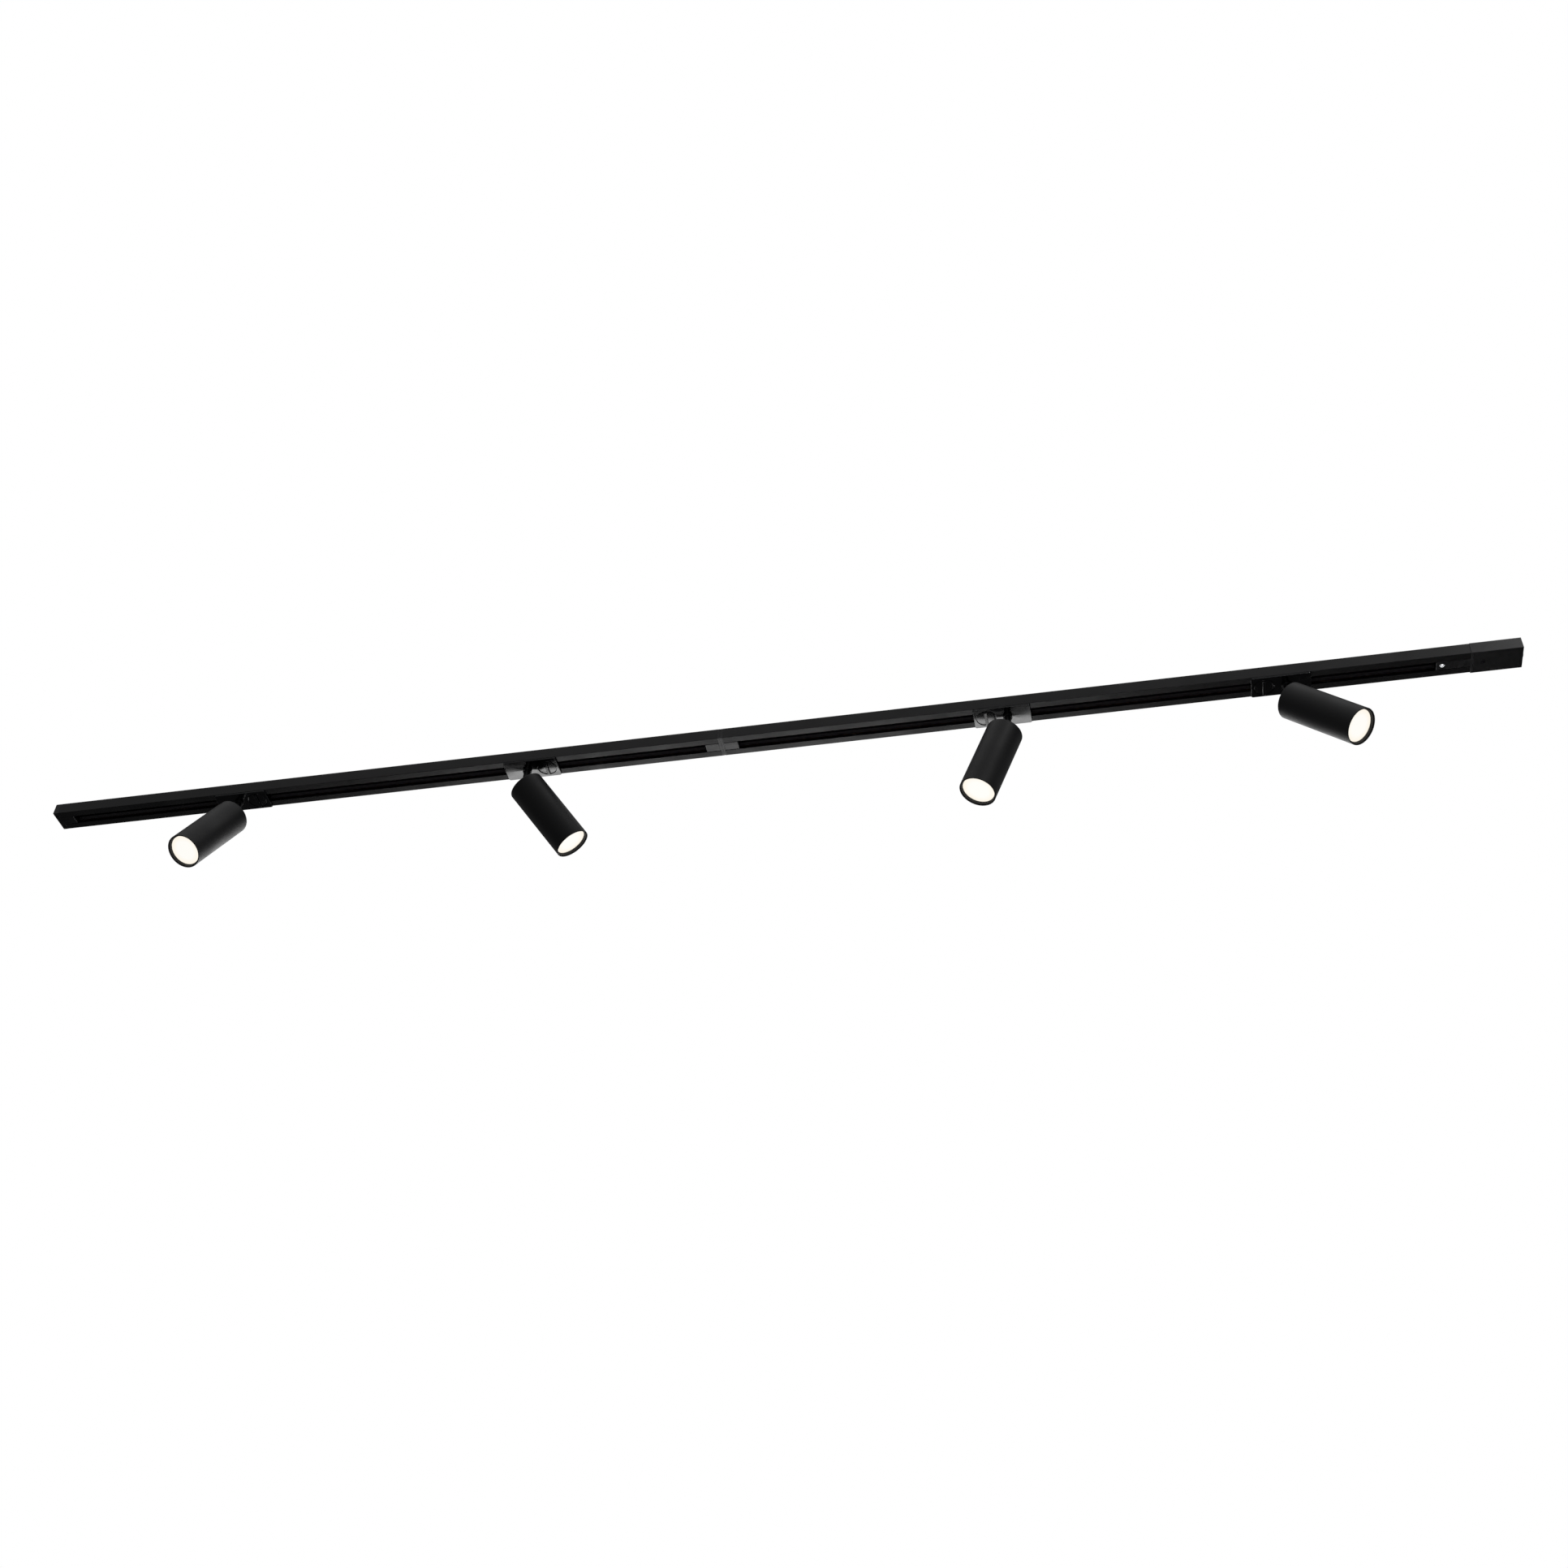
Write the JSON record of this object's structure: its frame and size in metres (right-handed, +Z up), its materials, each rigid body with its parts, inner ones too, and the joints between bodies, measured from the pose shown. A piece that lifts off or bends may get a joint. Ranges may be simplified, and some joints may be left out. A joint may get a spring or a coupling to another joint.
{
  "type": "track lighting fixture",
  "caption": "Straight single-circuit ceiling track in black with cylindrical spot heads that slide, turn and tilt on round stems, a dead end and a live-end feed.",
  "frame": {"origin": "middle of the joint between the two rails, on the face that lies against the ceiling", "axes": "+X along the rails towards the feed, +Z up into the ceiling"},
  "size_m": [2.0812, 0.132, 0.1716],
  "materials": {
    "rail_black": "satin black powder coat on extruded aluminium",
    "insulator_black": "extruded dark PVC",
    "copper": "drawn copper strip",
    "contact_brass": "pressed brass",
    "connector_black": "moulded satin polycarbonate",
    "adapter_black": "moulded semi-gloss polycarbonate",
    "terminal_grey": "moulded polyamide",
    "grommet_rubber": "matt rubber",
    "screw_black": "blackened steel",
    "screw_bright": "zinc-plated steel",
    "stem_black": "satin black powder coat",
    "head_black": "matt black powder coat on spun aluminium",
    "ring_black": "satin black",
    "socket_ceramic": "unglazed steatite",
    "lamp_white": "moulded white polycarbonate",
    "lamp_glow": "lit opal diffuser"
  },
  "bodies": {
    "rail": {"track_left": "rail_black", "track_right": "rail_black", "insulators_left": "insulator_black", "insulators_right": "insulator_black", "conductors_left": "copper", "conductors_right": "copper", "joiner": "connector_black", "joiner_contacts": "contact_brass", "end_cap": "connector_black", "feed_housing": "connector_black", "feed_cover": "connector_black", "feed_terminals": "terminal_grey", "feed_contacts": "contact_brass", "feed_grommet": "grommet_rubber", "cover_screw": "screw_black", "lock_screw": "screw_bright"},
    "adapter_1": {"adapter_1": "adapter_black"},
    "latch_1": {"latch_1": "adapter_black", "latch_contacts_1": "contact_brass"},
    "stem_1": {"stem_1": "stem_black"},
    "head_1": {"pivot_pin_1": "screw_bright", "rear_cap_1": "head_black", "tube_1": "head_black", "lamp_holder_1": "socket_ceramic", "lamp_1": "lamp_white", "lamp_lens_1": "lamp_glow", "front_ring_1": "ring_black"},
    "adapter_2": {"adapter_2": "adapter_black"},
    "latch_2": {"latch_2": "adapter_black", "latch_contacts_2": "contact_brass"},
    "stem_2": {"stem_2": "stem_black"},
    "head_2": {"pivot_pin_2": "screw_bright", "rear_cap_2": "head_black", "tube_2": "head_black", "lamp_holder_2": "socket_ceramic", "lamp_2": "lamp_white", "lamp_lens_2": "lamp_glow", "front_ring_2": "ring_black"},
    "adapter_3": {"adapter_3": "adapter_black"},
    "latch_3": {"latch_3": "adapter_black", "latch_contacts_3": "contact_brass"},
    "stem_3": {"stem_3": "stem_black"},
    "head_3": {"pivot_pin_3": "screw_bright", "rear_cap_3": "head_black", "tube_3": "head_black", "lamp_holder_3": "socket_ceramic", "lamp_3": "lamp_white", "lamp_lens_3": "lamp_glow", "front_ring_3": "ring_black"},
    "adapter_4": {"adapter_4": "adapter_black"},
    "latch_4": {"latch_4": "adapter_black", "latch_contacts_4": "contact_brass"},
    "stem_4": {"stem_4": "stem_black"},
    "head_4": {"pivot_pin_4": "screw_bright", "rear_cap_4": "head_black", "tube_4": "head_black", "lamp_holder_4": "socket_ceramic", "lamp_4": "lamp_white", "lamp_lens_4": "lamp_glow", "front_ring_4": "ring_black"}
  },
  "joints": [
    {"name": "adapter_slide_1", "type": "slide", "parent": "rail", "child": "adapter_1", "axis": [1, 0, 0], "range_m": [-0.22, 0.16]},
    {"name": "latch_turn_1", "type": "hinge", "parent": "adapter_1", "child": "latch_1", "pos_m": [-0.6935, 0, -0.0209], "axis": [0, 0, 1], "range_deg": [0, 90]},
    {"name": "head_pan_1", "type": "hinge", "parent": "adapter_1", "child": "stem_1", "pos_m": [-0.7225, 0, -0.0246], "axis": [0, 0, 1], "range_deg": [-57.5, 292.5]},
    {"name": "head_tilt_1", "type": "hinge", "parent": "stem_1", "child": "head_1", "pos_m": [-0.7225, 0, -0.061], "axis": [-0.887, 0.4617, 0], "range_deg": [-27.5, 62.5]},
    {"name": "adapter_slide_2", "type": "slide", "parent": "rail", "child": "adapter_2", "axis": [1, 0, 0], "range_m": [-0.17, 0.2]},
    {"name": "latch_turn_2", "type": "hinge", "parent": "adapter_2", "child": "latch_2", "pos_m": [-0.2545, 0, -0.0209], "axis": [0, 0, 1], "range_deg": [0, 90]},
    {"name": "head_pan_2", "type": "hinge", "parent": "adapter_2", "child": "stem_2", "pos_m": [-0.2835, 0, -0.0246], "axis": [0, 0, 1], "range_deg": [-200, 150]},
    {"name": "head_tilt_2", "type": "hinge", "parent": "stem_2", "child": "head_2", "pos_m": [-0.2835, 0, -0.061], "axis": [0.4226, -0.9063, 0], "range_deg": [-40.5, 49.5]},
    {"name": "adapter_slide_3", "type": "slide", "parent": "rail", "child": "adapter_3", "axis": [1, 0, 0], "range_m": [-0.3, 0.13]},
    {"name": "latch_turn_3", "type": "hinge", "parent": "adapter_3", "child": "latch_3", "pos_m": [0.369, 0, -0.0209], "axis": [0, 0, 1], "range_deg": [0, 90]},
    {"name": "head_pan_3", "type": "hinge", "parent": "adapter_3", "child": "stem_3", "pos_m": [0.398, 0, -0.0246], "axis": [0, 0, 1], "range_deg": [-186.5, 163.5]},
    {"name": "head_tilt_3", "type": "hinge", "parent": "stem_3", "child": "head_3", "pos_m": [0.398, 0, -0.061], "axis": [-0.1994, 0.9799, 0], "range_deg": [-20, 70]},
    {"name": "adapter_slide_4", "type": "slide", "parent": "rail", "child": "adapter_4", "axis": [1, 0, 0], "range_m": [-0.12, 0.13]},
    {"name": "latch_turn_4", "type": "hinge", "parent": "adapter_4", "child": "latch_4", "pos_m": [0.739, 0, -0.0209], "axis": [0, 0, 1], "range_deg": [0, 90]},
    {"name": "head_pan_4", "type": "hinge", "parent": "adapter_4", "child": "stem_4", "pos_m": [0.768, 0, -0.0246], "axis": [0, 0, 1], "range_deg": [-335, 15]},
    {"name": "head_tilt_4", "type": "hinge", "parent": "stem_4", "child": "head_4", "pos_m": [0.768, 0, -0.061], "axis": [-0.342, -0.9397, 0], "range_deg": [-42.5, 47.5]}
  ]
}
